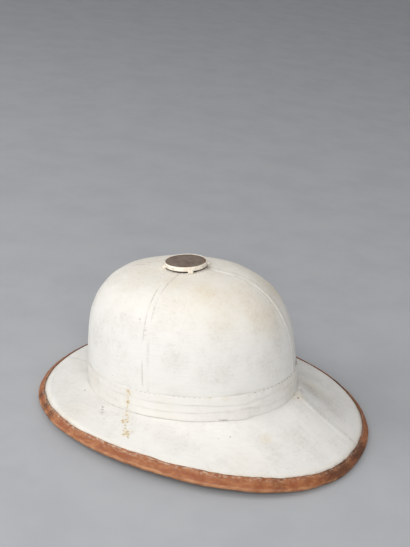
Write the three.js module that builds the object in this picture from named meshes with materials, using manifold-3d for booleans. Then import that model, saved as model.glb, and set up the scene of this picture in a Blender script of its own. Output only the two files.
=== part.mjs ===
// Sun helmet: a crown and a brim of moulded pith under white cloth, with a folded band
// round the foot of the crown, a leather binding on the edge of the brim, and a capped
// ventilator on top.
// Millimetres, +Z up. The wearer faces -Y. The origin lies on the surface that the helmet
// rests on, midway along and across the brim.

import * as THREE from 'three';
import { mergeVertices } from 'three/addons/utils/BufferGeometryUtils.js';
import Module from 'manifold-3d';

// Driving dimensions

const columns = 48; // points round the helmet, a quarter of them to each crown gore
const clearance = 0.3; // between neighbouring pieces
const seam = 0.4; // left open between two panels
const pithSeamColumn = 2; // the halves of the crown's pith meet a little beside the cloth's seams

const brim = {
  halfLength: 170,
  halfWidth: 148,
  squareness: 2.2, // exponent of the outline in plan, where 2 is an ellipse
  sideLift: 7, // height of the sides above the front and back, which rest
  restSine: 0.27, // the edge lies level up to this sine of the angle from front or back
  liftPower: 1.5,
  flare: 0.2, // how much steeper the brim is beside the crown than at its lip
  ridgeColumns: 2, // half width of the ridge down the middle of the back
};

// The brim turns down to its edge in a narrow lip. Its length lies along its slope.
const lip = { length: 11, slope: 41, pith: 1.9 };

const crown = {
  front: 107,
  back: 109,
  halfWidth: 89.5,
  squareness: 2.06,
  centreAhead: 16.6, // from the middle of the brim
  footHeight: 28.3,
  rise: 122.3,
  lean: 3, // how far the top moves to the front along the rise
  pitch: THREE.MathUtils.degToRad(8), // the whole crown nods to the front
  shoulderFront: { height: 3.2, spread: 3.7 },
  shoulderBack: { height: 3.4, spread: 3.0 },
  sideSeamTurn: THREE.MathUtils.degToRad(5.5), // the side seams lie ahead of the middle
};

const cloth = { thickness: 1 };
const pith = { thickness: 5.5 };
const band = { height: 25, seat: 0.35, foot: 0.9 };
const binding = { radius: 3.1, thickness: 1.2, leg: 10.3, underLeg: 8.5, flatAngle: 75 };
const cap = { radius: 21.2, top: 6.1, underside: 1.3, wall: 1.2, web: 3.4, lip: 0.9, round: 0.35 };
const capSegments = 40;
const tubeSegments = 24;
const disc = { sink: 0.1, edgeWidth: 0.6, edgeDrop: 0.4 };
const foot = { count: 4, width: 5, reach: 23.6, top: 3, firstAngle: 35 };
const tube = { radius: 9.4, wall: 1.4, flange: 16, flangeThickness: 1.4, tail: 1.4 };

// Rows of the crown from its foot up to the vent hole. A row is placed by its height, as
// a share of the rise, or by its spread, as a share of the outline at the foot.
const crownRows = [
  { height: 0 },
  { height: 0.1 },
  { height: 0.21 },
  { height: 0.36 },
  { height: 0.5 },
  { height: 0.62 },
  { height: 0.73 },
  { spread: 0.8 },
  { spread: 0.69 },
  { spread: 0.56 },
  { spread: 0.42 },
  { spread: 0.28 },
  { spread: 0.14 },
];

// Rows of the brim from its lip in to the crown: the share of the way out, the height of
// the back ridge, and the thickness of the pith.
const brimRows = [
  { out: 1, ridge: 0, pith: lip.pith },
  { out: 0.6, ridge: 2.8, pith: 2.8 },
  { out: 0.2, ridge: 5.6, pith: 4.8 },
];

// Section of the folded band: the share of its height, and how far it stands out. Three
// folds lie one above the other, and each turns in under the next.
const bandSection = [
  { up: 0, out: 1.5 },
  { up: 0.02, out: 2.5 },
  { up: 0.18, out: 2.8 },
  { up: 0.32, out: 2.1 },
  { up: 0.34, out: 1.5 },
  { up: 0.36, out: 2.3 },
  { up: 0.5, out: 2.5 },
  { up: 0.64, out: 1.9 },
  { up: 0.66, out: 1.4 },
  { up: 0.68, out: 2.1 },
  { up: 0.84, out: 2.1 },
  { up: 1, out: 1.3 },
];

// Directions round the rolled edge of the binding, in degrees above the level, from square
// to the top of the lip to square to its underside. The two on each side of straight down
// lie at one height, so that the edge has a flat underneath.
const rollAngles = [
  90 - lip.slope,
  20,
  -12,
  -43,
  -binding.flatAngle,
  binding.flatAngle - 180,
  -90 - lip.slope,
];

const paint = {
  whiteCloth: { color: 0xeeebe4, roughness: 0.92, metalness: 0 },
  brimCloth: { color: 0xf0eee8, roughness: 0.92, metalness: 0 },
  bandCloth: { color: 0xe9e6df, roughness: 0.95, metalness: 0 },
  pith: { color: 0xcdbf9f, roughness: 0.98, metalness: 0 },
  leather: { color: 0xa4673f, roughness: 0.62, metalness: 0 },
  enamel: { color: 0xe7e1d6, roughness: 0.45, metalness: 0 },
  bareMetal: { color: 0x74685b, roughness: 0.5, metalness: 0.85 },
};

// Curves of the helmet

const signedPower = (value, power) => Math.sign(value) * Math.abs(value) ** power;

// Angle in plan of a column, from the front round by the wearer's left. The columns are
// drawn towards the front at the sides, where the side seams run.
function planAngle(column) {
  const turn = (column / columns) * 2 * Math.PI;
  return turn - crown.sideSeamTurn * Math.sin(turn);
}

// Point on a rounded outline with its own half lengths to the front and to the back.
function outline(angle, front, back, halfWidth, squareness) {
  const power = 2 / squareness;
  const length = Math.cos(angle) > 0 ? front : back;
  return new THREE.Vector2(
    signedPower(Math.sin(angle), power) * halfWidth,
    -signedPower(Math.cos(angle), power) * length,
  );
}

// The frame of the crown: its origin is the middle of its foot, and +Z its pitched axis.
const crownFrame = new THREE.Group();
crownFrame.position.set(0, -crown.centreAhead, crown.footHeight);
crownFrame.rotation.x = crown.pitch;
crownFrame.updateMatrix();

function crownPoint(column, row) {
  const angle = planAngle(column);
  const toFront = (1 + Math.cos(angle)) / 2;
  const { shoulderFront, shoulderBack } = crown;
  const m = THREE.MathUtils.lerp(shoulderBack.height, shoulderFront.height, toFront);
  const k = THREE.MathUtils.lerp(shoulderBack.spread, shoulderFront.spread, toFront);
  const height = row.height ?? (1 - row.spread ** k) ** (1 / m);
  const spread = row.spread ?? (1 - row.height ** m) ** (1 / k);
  const foot = outline(angle, crown.front, crown.back, crown.halfWidth, crown.squareness);
  return new THREE.Vector3(
    foot.x * spread,
    foot.y * spread - crown.lean * height,
    crown.rise * height,
  ).applyMatrix4(crownFrame.matrix);
}

// Middle of the rolled edge, which rests at the front and back and lifts at the sides.
function edgeCentre(column) {
  const angle = planAngle(column);
  const inset = binding.radius;
  const { halfLength, halfWidth, squareness } = brim;
  const length = halfLength - inset;
  const point = outline(angle, length, length, halfWidth - inset, squareness);
  const lowest = Math.sin(THREE.MathUtils.degToRad(binding.flatAngle));
  const share = (Math.abs(Math.sin(angle)) - brim.restSine) / (1 - brim.restSine);
  const lift = brim.sideLift * Math.max(0, share) ** brim.liftPower;
  return new THREE.Vector3(point.x, point.y, binding.radius * lowest + lift);
}

// Half the thickness of what the binding folds over.
const coreHalf = binding.radius - binding.thickness - clearance;

// Direction in the plane square to the edge, in degrees above the level and outwards.
function edgeDirection(column, degrees) {
  const along = edgeCentre(column + 1).sub(edgeCentre(column - 1)).setZ(0).normalize();
  const angle = THREE.MathUtils.degToRad(degrees);
  return new THREE.Vector3(along.y, -along.x, 0)
    .multiplyScalar(Math.cos(angle))
    .setZ(Math.sin(angle));
}

// Point of the lip: how far up its slope from the edge, and how far off its middle.
function lipPoint(column, up, off) {
  return edgeCentre(column)
    .addScaledVector(edgeDirection(column, 180 - lip.slope), up)
    .addScaledVector(edgeDirection(column, 90 - lip.slope), off);
}

function brimPoint(column, row) {
  const inner = crownPoint(column, crownRows[0]);
  const outer = lipPoint(column, lip.length, coreHalf);
  const point = inner.clone().lerp(outer, row.out);
  const fall = row.out + brim.flare * row.out * (1 - row.out);
  point.z = THREE.MathUtils.lerp(inner.z, outer.z, fall);
  const fromRidge = Math.abs(column - columns / 2) / brim.ridgeColumns;
  point.z += row.ridge * Math.max(0, 1 - fromRidge);
  return point;
}

// The outer face of the cloth, as rows of points from the edge of the brim to the vent
// hole, with the depth of pith beneath each row. The corner row is where the two meet.
const rows = [
  { pith: lip.pith, place: (column) => lipPoint(column, 0, coreHalf) },
  ...brimRows.map((row) => ({ pith: row.pith, place: (column) => brimPoint(column, row) })),
  ...crownRows.map((row) => ({
    pith: pith.thickness,
    place: (column) => crownPoint(column, row),
  })),
];
const cornerRow = 1 + brimRows.length;
const ring = [...Array(columns).keys()];
const skin = rows.map((row) => ring.map(row.place));

const wrap = (column) => (column + columns) % columns;

// Direction round the helmet at a point of the skin.
function alongRing(row, column) {
  const next = skin[row][wrap(column + 1)];
  const last = skin[row][wrap(column - 1)];
  return next.clone().sub(last);
}

// Outward direction of the strip between a row and the one above it.
function stripNormal(row, column) {
  const up = skin[row + 1][wrap(column)].clone().sub(skin[row][wrap(column)]);
  return alongRing(row, column).cross(up).normalize();
}

// Point that lies at one depth under both strips that meet at a point of the skin.
function under(row, column, depth) {
  const above = stripNormal(Math.min(row, rows.length - 2), column);
  const below = stripNormal(Math.max(row - 1, 0), column);
  const middle = above.clone().add(below).normalize();
  const reach = depth / middle.dot(above);
  return skin[row][wrap(column)].clone().addScaledVector(middle, -reach);
}

// Solids

// Faces of a closed section that is listed up the outside and, from its turn row on, down
// the inside. Both sides are cut along the same diagonals, so that a wall stays even.
function sectionFaces(section, indexOf, turnRow, loopColumns) {
  const faces = [];
  const width = section[0].length;
  const lastColumn = width - (loopColumns ? 0 : 1);
  for (let row = 0; row < section.length; row += 1) {
    for (let column = 0; column < lastColumn; column += 1) {
      const above = (row + 1) % section.length;
      const beside = (column + 1) % width;
      const a = indexOf(row, column);
      const b = indexOf(row, beside);
      const c = indexOf(above, beside);
      const d = indexOf(above, column);
      if (row < turnRow) {
        faces.push(a, b, c, a, c, d);
      } else {
        faces.push(a, b, d, b, c, d);
      }
    }
  }
  return faces;
}

function geometryFrom(points, faces) {
  const geometry = new THREE.BufferGeometry().setFromPoints(points);
  geometry.setIndex(faces);
  const flat = geometry.toNonIndexed();
  flat.computeVertexNormals();
  return flat;
}

// Body swept round the whole helmet from a closed section.
function ringGeometry(section, turnRow) {
  const indexOf = (row, column) => row * columns + column;
  return geometryFrom(section.flat(), sectionFaces(section, indexOf, turnRow, true));
}

// Wall between an outer and an inner grid that stops at two columns.
function panelGeometry(outer, inner) {
  const width = outer[0].length;
  const loop = [...outer, ...[...inner].reverse()];
  const indexOf = (row, column) => row * width + column;
  const faces = sectionFaces(loop, indexOf, outer.length, false);
  for (let row = 0; row < outer.length - 1; row += 1) {
    const facing = loop.length - 1 - row;
    const first = [row, row + 1, facing - 1, facing].map((r) => indexOf(r, 0));
    const last = [row, row + 1, facing - 1, facing].map((r) => indexOf(r, width - 1));
    faces.push(first[0], first[1], first[2], first[0], first[2], first[3]);
    faces.push(last[0], last[2], last[1], last[0], last[3], last[2]);
  }
  return geometryFrom(loop.flat(), faces);
}

// Moves the first and last of a run of points in from its ends, to leave a seam open.
function drawIn(points, distance) {
  const moved = points.map((point) => point.clone());
  const pull = (from, to) => {
    const reach = distance / points[from].distanceTo(points[to]);
    moved[from].lerp(points[to], reach);
  };
  pull(0, 1);
  pull(points.length - 1, points.length - 2);
  return moved;
}

// Draws the row at the foot of the crown back from the corner, if a grid ends there.
function openCorner(grid, firstRow) {
  const corner = cornerRow - firstRow;
  const beyond = corner === 0 ? 1 : corner - 1;
  return grid.map((line, i) => {
    if (i !== corner) {
      return line;
    }
    return line.map((point, j) => {
      const reach = seam / 2 / point.distanceTo(grid[beyond][j]);
      return point.clone().lerp(grid[beyond][j], reach);
    });
  });
}

// Points under the skin, over a run of rows that starts or ends at the foot of the crown.
function layer(firstRow, lastRow, pointsOf) {
  const grid = [];
  for (let row = firstRow; row <= lastRow; row += 1) {
    grid.push(pointsOf(row));
  }
  return openCorner(grid, firstRow);
}

const pithTop = cloth.thickness + clearance;
const pithUnderside = (row) => pithTop + rows[row].pith;

// Wall under some rows and columns of the skin, with open seams along its sides.
function wallPanel(firstRow, lastRow, firstColumn, lastColumn, topOf, undersideOf) {
  const face = (depthOf) =>
    layer(firstRow, lastRow, (row) => {
      const line = [];
      for (let column = firstColumn; column <= lastColumn; column += 1) {
        line.push(under(row, column, depthOf(row)));
      }
      return drawIn(line, seam / 2);
    });
  return panelGeometry(face(topOf), face(undersideOf));
}

function clothPanel(firstRow, lastRow, firstColumn, lastColumn) {
  const underside = () => cloth.thickness;
  return wallPanel(firstRow, lastRow, firstColumn, lastColumn, () => 0, underside);
}

// Half of the moulded pith of the crown, from a column on.
function crownHalf(firstColumn) {
  const lastColumn = firstColumn + columns / 2;
  const lastRow = rows.length - 1;
  return wallPanel(cornerRow, lastRow, firstColumn, lastColumn, () => pithTop, pithUnderside);
}

// Moulded pith of the brim and its lip, all the way round.
function brimGeometry() {
  const face = (depthOf) =>
    layer(0, cornerRow, (row) => ring.map((column) => under(row, column, depthOf(row))));
  const outer = face(() => pithTop);
  const inner = face(pithUnderside);
  return ringGeometry([...outer, ...inner.reverse()], outer.length);
}

function bandGeometry() {
  const section = [
    ...bandSection,
    { up: 1, out: band.seat },
    { up: 0.5, out: band.seat },
    { up: 0, out: band.seat },
  ];
  const upperRow = cornerRow + 2;
  const place = ({ up, out }, column) => {
    const start = skin[cornerRow][column];
    const wall = skin[upperRow][column].clone().sub(start).normalize();
    const outward = alongRing(cornerRow + 1, column).cross(wall).normalize();
    const rise = band.foot + up * (band.height - band.foot);
    return start.clone().addScaledVector(wall, rise).addScaledVector(outward, out);
  };
  const points = section.map((row) => ring.map((column) => place(row, column)));
  return ringGeometry(points, bandSection.length);
}

// Leather folded over the lip of the brim: a rolled outside between two flat legs.
function bindingGeometry() {
  const { radius, leg, underLeg } = binding;
  const innerRadius = radius - binding.thickness;
  const rolled = (column, distance, degrees) =>
    edgeCentre(column).addScaledVector(edgeDirection(column, degrees), distance);
  const upward = [...rollAngles].reverse();
  const section = [
    (column) => lipPoint(column, underLeg, -radius),
    ...upward.map((degrees) => (column) => rolled(column, radius, degrees)),
    (column) => lipPoint(column, leg, radius),
    (column) => lipPoint(column, leg, innerRadius),
    ...rollAngles.map((degrees) => (column) => rolled(column, innerRadius, degrees)),
    (column) => lipPoint(column, underLeg, -innerRadius),
  ];
  return ringGeometry(
    section.map((place) => ring.map(place)),
    rollAngles.length + 2,
  );
}

// Turned shapes. A profile is listed as radius and height, up the outside.
function turned(profile, segments) {
  const points = profile.map(([radius, height]) => new THREE.Vector2(radius, height));
  return new THREE.LatheGeometry(points, segments).rotateX(Math.PI / 2);
}

const wasm = await Module();
wasm.setup();

function solidOf(geometry) {
  const bare = new THREE.BufferGeometry();
  const source = geometry.index ? geometry.toNonIndexed() : geometry;
  bare.setAttribute('position', source.getAttribute('position').clone());
  const merged = mergeVertices(bare, 1e-3);
  return new wasm.Manifold(
    new wasm.Mesh({
      numProp: 3,
      vertProperties: merged.attributes.position.array,
      triVerts: new Uint32Array(merged.index.array),
    }),
  );
}

function geometryOf(solid) {
  const mesh = solid.getMesh();
  const geometry = new THREE.BufferGeometry();
  geometry.setAttribute('position', new THREE.BufferAttribute(mesh.vertProperties, 3));
  geometry.setIndex(new THREE.BufferAttribute(mesh.triVerts, 1));
  const flat = geometry.toNonIndexed();
  flat.computeVertexNormals();
  return flat;
}

// White cap: a shallow dish with a raised lip and four feet that stand on the cloth.
function capGeometry() {
  const { radius, top, underside, wall, web, lip } = cap;
  const floor = web + wall;
  const dish = turned(
    [
      [0, web],
      [radius - wall, web],
      [radius - wall, underside],
      [radius, underside],
      [radius, top - cap.round],
      [radius - cap.round, top],
      [radius - lip, top],
      [radius - lip, floor],
      [0, floor],
    ],
    capSegments,
  );
  const inside = radius - wall / 2;
  let solid = solidOf(dish);
  for (let i = 0; i < foot.count; i += 1) {
    const angle = THREE.MathUtils.degToRad(foot.firstAngle + (i * 360) / foot.count);
    const block = new THREE.BoxGeometry(foot.reach - inside, foot.width, foot.top)
      .translate((foot.reach + inside) / 2, 0, foot.top / 2)
      .rotateZ(angle - Math.PI / 2);
    solid = solid.add(solidOf(block));
  }
  return geometryOf(solid);
}

// Bare metal disc that fills the dish.
function faceGeometry() {
  const radius = cap.radius - cap.lip - clearance;
  const low = cap.web + cap.wall + clearance;
  const top = cap.top - disc.sink;
  return turned(
    [
      [0, low],
      [radius, low],
      [radius, top - disc.edgeDrop],
      [radius - disc.edgeWidth, top],
      [0, top],
    ],
    capSegments,
  );
}

// Hidden tube that holds the cap, with a flange against the inside of the pith.
function tubeGeometry() {
  const bore = tube.radius - tube.wall;
  const insideOfPith = -(cloth.thickness + clearance + pith.thickness);
  const flangeTop = insideOfPith - 2 * clearance;
  const flangeLow = flangeTop - tube.flangeThickness;
  const top = cap.web - clearance;
  const low = flangeLow - tube.tail;
  return turned(
    [
      [bore, low],
      [tube.radius, low],
      [tube.radius, flangeLow],
      [tube.flange, flangeLow],
      [tube.flange, flangeTop],
      [tube.radius, flangeTop],
      [tube.radius, top],
      [bore, top],
      [bore, low],
    ],
    tubeSegments,
  );
}

// Assembly

function piece(name, geometry, look) {
  const mesh = new THREE.Mesh(geometry, new THREE.MeshStandardMaterial(look));
  mesh.name = name;
  return mesh;
}

const helmet = new THREE.Group();
const topRow = rows.length - 1;
const quarter = columns / 4;
const half = columns / 2;

helmet.add(piece('pith_brim', brimGeometry(), paint.pith));

['left', 'right'].forEach((side, i) => {
  helmet.add(piece(`pith_crown_${side}`, crownHalf(pithSeamColumn + i * half), paint.pith));
});

['front_left', 'back_left', 'back_right', 'front_right'].forEach((side, i) => {
  const panel = clothPanel(cornerRow, topRow, i * quarter, (i + 1) * quarter);
  helmet.add(piece(`crown_gore_${side}`, panel, paint.whiteCloth));
});

['left', 'right'].forEach((side, i) => {
  const panel = clothPanel(0, cornerRow, i * half, (i + 1) * half);
  helmet.add(piece(`brim_cover_${side}`, panel, paint.brimCloth));
});

helmet.add(piece('folded_band', bandGeometry(), paint.bandCloth));
helmet.add(piece('edge_binding', bindingGeometry(), paint.leather));

const ventilator = new THREE.Group();
ventilator.position.set(0, -crown.lean, crown.rise);
ventilator.add(piece('vent_tube', tubeGeometry(), paint.bareMetal));
ventilator.add(piece('vent_cap', capGeometry(), paint.enamel));
ventilator.add(piece('vent_cap_face', faceGeometry(), paint.bareMetal));
crownFrame.add(ventilator);
helmet.add(crownFrame);

export default helmet;
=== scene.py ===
import math

import bpy
import numpy as np
from mathutils import Matrix, Vector


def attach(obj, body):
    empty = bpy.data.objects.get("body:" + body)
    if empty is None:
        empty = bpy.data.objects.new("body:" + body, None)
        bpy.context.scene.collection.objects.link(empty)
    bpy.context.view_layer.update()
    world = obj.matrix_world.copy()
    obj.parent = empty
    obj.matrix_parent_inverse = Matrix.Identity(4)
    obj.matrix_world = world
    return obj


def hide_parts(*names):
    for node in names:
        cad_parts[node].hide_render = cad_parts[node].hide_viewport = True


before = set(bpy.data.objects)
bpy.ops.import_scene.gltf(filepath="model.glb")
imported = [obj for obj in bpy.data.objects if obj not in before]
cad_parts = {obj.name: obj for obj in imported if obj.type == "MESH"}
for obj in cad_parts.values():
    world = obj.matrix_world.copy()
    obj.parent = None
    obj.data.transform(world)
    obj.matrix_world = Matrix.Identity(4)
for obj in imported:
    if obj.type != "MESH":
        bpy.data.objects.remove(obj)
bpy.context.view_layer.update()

# Sun helmet. Metres, +Z up, the wearer faces -Y. Lengths in the dictionaries are millimetres,
# unless a note says otherwise.
mm = 0.001
columns = 48        # the helmet is divided into 48 round, from the front by the wearer's left

form = {
    # the crown, at its foot, and how it stands on the brim
    'crownFront': 107, 'crownBack': 109, 'crownHalfWidth': 89.5, 'crownSquareness': 2.06,
    'crownAhead': 16.6, 'footHeight': 28.3, 'rise': 122.3, 'lean': 3, 'pitch': math.radians(8),
    'shoulderHeight': (3.4, 3.2), 'shoulderSpread': (3.0, 3.7),        # back, front
    'sideSeamTurn': math.radians(5.5), 'ventHole': 0.14,
    # the brim, its rolled edge and its turned-down lip; out is a share of the way to the lip
    'brimHalfLength': 170, 'brimHalfWidth': 148, 'brimSquareness': 2.2,
    'sideLift': 7, 'restSine': 0.27, 'liftPower': 1.5, 'flare': 0.2,
    'edgeRadius': 3.1, 'coreHalf': 1.6, 'flatAngle': math.radians(75),
    'lipLength': 11, 'lipSlope': math.radians(41), 'lipShare': 0.2, 'lipBend': 0.035,
    'ridgeHeight': 6.9, 'ridgeFoot': 0.06, 'ridgeFootEase': 1.3, 'ridgeTurn': 1.25,
    'ridgeTurnFade': 0.07, 'ridgeHalfColumns': 3.6, 'ridgeEase': 1.6, 'ridgeCrestColumns': 0.16,
    'bandHeight': 25, 'bandWallShare': 0.21, 'bandGap': 0.35, 'besideBand': 0.04,
}


# The shape of the helmet, in millimetres, for whole arrays of places at once

def signedPower(value, power):
    return np.sign(value) * np.abs(value) ** power


def planAngle(column):
    turn = column / columns * 2 * np.pi
    return turn - form['sideSeamTurn'] * np.sin(turn)


def outline(angle, front, back, halfWidth, squareness):
    length = np.where(np.cos(angle) > 0, front, back)
    x = signedPower(np.sin(angle), 2 / squareness) * halfWidth
    y = -signedPower(np.cos(angle), 2 / squareness) * length
    return x, y


def shoulders(angle):
    toFront = (1 + np.cos(angle)) / 2
    backHeight, frontHeight = form['shoulderHeight']
    backSpread, frontSpread = form['shoulderSpread']
    height = backHeight + (frontHeight - backHeight) * toFront
    spread = backSpread + (frontSpread - backSpread) * toFront
    return height, spread


def evenRows():
    # how far round the rounded profile each even step up the cloth comes
    samples = 3000
    turn = np.linspace(0, 1, samples)
    middleHeight, middleSpread = shoulders(np.pi / 2)
    height = np.sin(turn * np.pi / 2) ** (2 / middleHeight) * form['rise']
    spread = np.cos(turn * np.pi / 2) ** (2 / middleSpread) * form['crownHalfWidth']
    climbed = np.concatenate(([0], np.cumsum(np.hypot(np.diff(height), np.diff(spread)))))
    hole = math.acos(form['ventHole'] ** (middleSpread / 2)) * 2 / math.pi
    return climbed / np.interp(hole, turn, climbed), turn / hole


rowSteps = evenRows()


def crownFrame(x, y, z):
    pitch = form['pitch']
    return np.stack([
        x,
        y * math.cos(pitch) - z * math.sin(pitch) - form['crownAhead'],
        y * math.sin(pitch) + z * math.cos(pitch) + form['footHeight'],
    ], axis=-1)


def profileAt(column, turn):
    # turn runs round the rounded profile of the crown, from its foot, 0, to its very top, 1
    angle = planAngle(column)
    heightPower, spreadPower = shoulders(angle)
    height = np.sin(turn * np.pi / 2) ** (2 / heightPower)
    spread = np.cos(turn * np.pi / 2) ** (2 / spreadPower)
    x, y = outline(angle, form['crownFront'], form['crownBack'],
                   form['crownHalfWidth'], form['crownSquareness'])
    return crownFrame(x * spread, y * spread - form['lean'] * height, form['rise'] * height)


def crownAt(column, up):
    # up runs from the foot of the crown, 0, to the vent hole, 1
    spreadPower = shoulders(planAngle(column))[1]
    hole = np.arccos(form['ventHole'] ** (spreadPower / 2)) * 2 / np.pi
    return profileAt(column, np.clip(np.interp(up, *rowSteps) * hole, 0, 1))


def footAt(column):
    return profileAt(column, 0 * column)


def edgeAt(column):
    # middle of the rolled edge
    angle = planAngle(column)
    length = form['brimHalfLength'] - form['edgeRadius']
    width = form['brimHalfWidth'] - form['edgeRadius']
    x, y = outline(angle, length, length, width, form['brimSquareness'])
    share = (np.abs(np.sin(angle)) - form['restSine']) / (1 - form['restSine'])
    lift = form['sideLift'] * np.maximum(0, share) ** form['liftPower']
    return np.stack([x, y, form['edgeRadius'] * math.sin(form['flatAngle']) + lift], axis=-1)


def unit(vectors):
    return vectors / np.linalg.norm(vectors, axis=-1, keepdims=True)


def edgeFrame(column):
    # unit vectors at the edge: level and outwards, up the slope of the lip, and square to the lip
    step = 0.05
    along = unit((edgeAt(column + step) - edgeAt(column - step)) * [1, 1, 0])
    level = np.stack([along[..., 1], -along[..., 0], 0 * along[..., 0]], axis=-1)
    slope = form['lipSlope']
    upLip = -level * math.cos(slope) + [0, 0, math.sin(slope)]
    square = level * math.sin(slope) + [0, 0, math.cos(slope)]
    return level, upLip, square


def ridgeAt(column, out):
    # the brim is creased down the middle of the back
    foot = np.exp(-(out / form['ridgeFoot']) ** form['ridgeFootEase'])
    rise = form['ridgeHeight'] * (1 - out) * (1 - foot)
    crestColumn = columns / 2 + form['ridgeTurn'] * np.exp(-out / form['ridgeTurnFade'])
    away = np.abs(column % columns - crestColumn)
    crest = form['ridgeCrestColumns']
    rounded = np.sqrt(away ** 2 + crest ** 2) - crest
    return rise * np.clip(1 - rounded / form['ridgeHalfColumns'], 0, 1) ** form['ridgeEase']


def brimAt(column, out):
    # out runs from the foot of the crown, 0, to the bend at the top of the lip, 1, and down
    # the lip to its edge, 1 and lipShare
    upLip, square = edgeFrame(column)[1:]
    edge = edgeAt(column) + square * form['coreHalf']
    bend = edge + upLip * form['lipLength']
    inner = footAt(column)

    def slopeAt(share):
        point = inner + (bend - inner) * share[..., None]
        fall = share + form['flare'] * share * (1 - share)
        point[..., 2] = inner[..., 2] + (bend[..., 2] - inner[..., 2]) * fall
        point[..., 2] += ridgeAt(column, share)
        return point

    def lipAt(share):
        return bend + (edge - bend) * (share / form['lipShare'])[..., None]

    half = form['lipBend']
    turned = np.clip((out - 1 + half) / (2 * half), 0, 1)[..., None]
    rounded = slopeAt(0 * out + 1 - half) * (1 - turned) ** 2
    rounded += bend * 2 * turned * (1 - turned) + lipAt(0 * out + half) * turned ** 2
    point = np.where((out < 1 - half)[..., None], slopeAt(np.minimum(out, 1)), rounded)
    return np.where((out > 1 + half)[..., None], lipAt(np.maximum(out - 1, 0)), point)


def bandAt(column, up, proud):
    # up is a share of the height of the band, and proud how far it stands off the crown
    foot = footAt(column)
    heightPower = shoulders(planAngle(column))[0]
    turn = np.arcsin(form['bandWallShare'] ** (heightPower / 2)) * 2 / np.pi
    wall = unit(profileAt(column, turn) - foot)
    step = 0.2
    outward = unit(np.cross(footAt(column + step) - footAt(column - step), wall))
    beside = brimAt(column, 0 * column + form['besideBand']) - foot
    floor = (beside * wall).sum(-1) / (beside * outward).sum(-1) * proud + form['bandGap']
    rise = floor + (form['bandHeight'] - floor) * up
    return foot + wall * rise[..., None] + outward * proud[..., None]


def outwardOf(place, first, second, turned=1):
    # direction square to a surface, from two short steps along it
    step = 1e-3
    across = place(first + step, second) - place(first - step, second)
    along = place(first, second + step) - place(first, second)
    return unit(np.cross(across, along)) * turned


swellSettings = {'waves': 14, 'sizes': (0.8, 1.7), 'gain': 0.9}


def swell(points, size, seed):
    # soft random lumps of about that size in millimetres, from -1 to 1 or so
    chance = np.random.default_rng(seed)
    total = np.zeros(points.shape[:-1])
    for _ in range(swellSettings['waves']):
        direction = chance.normal(size=3)
        direction /= np.linalg.norm(direction)
        wave = 2 * np.pi / (size * chance.uniform(*swellSettings['sizes']))
        total += np.sin(points @ direction * wave + chance.uniform(0, 2 * np.pi))
    return total / math.sqrt(swellSettings['waves']) * swellSettings['gain']


def lumpy(points, rows, seed):
    # lumps of several sizes: each row is a size and a depth in millimetres
    return sum(depth * swell(points, size, seed + number)
               for number, (size, depth) in enumerate(rows))


def smooth(value, low, high):
    share = np.clip((value - low) / (high - low), 0, 1)
    return share * share * (3 - 2 * share)


def softLine(away, width):
    # 1 on a line, and next to nothing at twice that width from it
    return np.exp(-(away / width) ** 2)


# Modelling with Blender's operators

def clearSelection():
    if bpy.context.object and bpy.context.object.mode != 'OBJECT':
        bpy.ops.object.mode_set(mode='OBJECT')
    bpy.ops.object.select_all(action='DESELECT')


def pick(piece):
    clearSelection()
    piece.select_set(True)
    bpy.context.view_layer.objects.active = piece


def applyModifier(piece, kind, **settings):
    pick(piece)
    modifier = piece.modifiers.new(kind.lower(), kind)
    for name, value in settings.items():
        setattr(modifier, name, value)
    bpy.ops.object.modifier_apply(modifier=modifier.name)


def editMesh(piece, *steps):
    # each step is an operator and its settings, on the whole mesh
    pick(piece)
    bpy.ops.object.mode_set(mode='EDIT')
    bpy.ops.mesh.select_all(action='SELECT')
    for operator, settings in steps:
        operator(**settings)
    bpy.ops.object.mode_set(mode='OBJECT')


faceOutwards = (bpy.ops.mesh.normals_make_consistent, {'inside': False})


def thicken(sheet, thickness):
    applyModifier(sheet, 'SOLIDIFY', thickness=thickness * mm, offset=-1, use_rim=True)


def pointsOf(piece):
    flat = np.empty(len(piece.data.vertices) * 3, np.float32)
    piece.data.vertices.foreach_get('co', flat)
    return flat.reshape(-1, 3).astype(float)


def movePoints(piece, millimetres):
    piece.data.vertices.foreach_set('co', (millimetres * mm).astype(np.float32).ravel())
    piece.data.update()


def layCloth(piece, across, up):
    # the piece's own UV map, in metres of cloth
    corners = np.empty(len(piece.data.loops), np.int32)
    piece.data.loops.foreach_get('vertex_index', corners)
    flat = np.stack([across, up], axis=-1)[corners] * mm
    layer = piece.data.uv_layers.active or piece.data.uv_layers.new(name='cloth')
    layer.name = 'cloth'
    layer.data.foreach_set('uv', flat.astype(np.float32).ravel())


def mark(piece, name, values):
    attribute = piece.data.attributes.new(name, 'FLOAT', 'POINT')
    attribute.data.foreach_set('value', np.broadcast_to(values, len(piece.data.vertices))
                               .astype(np.float32))


def addSheet(name, across, up):
    clearSelection()
    bpy.ops.mesh.primitive_grid_add(x_subdivisions=across, y_subdivisions=up, size=2,
                                    calc_uvs=True, location=(0, 0, 0))
    sheet = bpy.context.object
    sheet.name = sheet.data.name = name
    flat = pointsOf(sheet)
    return sheet, (flat[:, 0] + 1) / 2, (flat[:, 1] + 1) / 2


def addRing(name, around, section):
    # a torus to be shaped: returns the column of each vertex, and its number round the section
    clearSelection()
    bpy.ops.mesh.primitive_torus_add(major_segments=around, minor_segments=section,
                                     major_radius=2, minor_radius=1, location=(0, 0, 0))
    ring = bpy.context.object
    ring.name = ring.data.name = name
    flat = pointsOf(ring)
    turn = np.arctan2(flat[:, 0], -flat[:, 1]) / (2 * np.pi) % 1
    reach = np.hypot(flat[:, 0], flat[:, 1]) - 2
    share = np.arctan2(flat[:, 2], reach) / (2 * np.pi) % 1
    return ring, np.round(turn * around) / around * columns, np.round(share * section)


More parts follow.
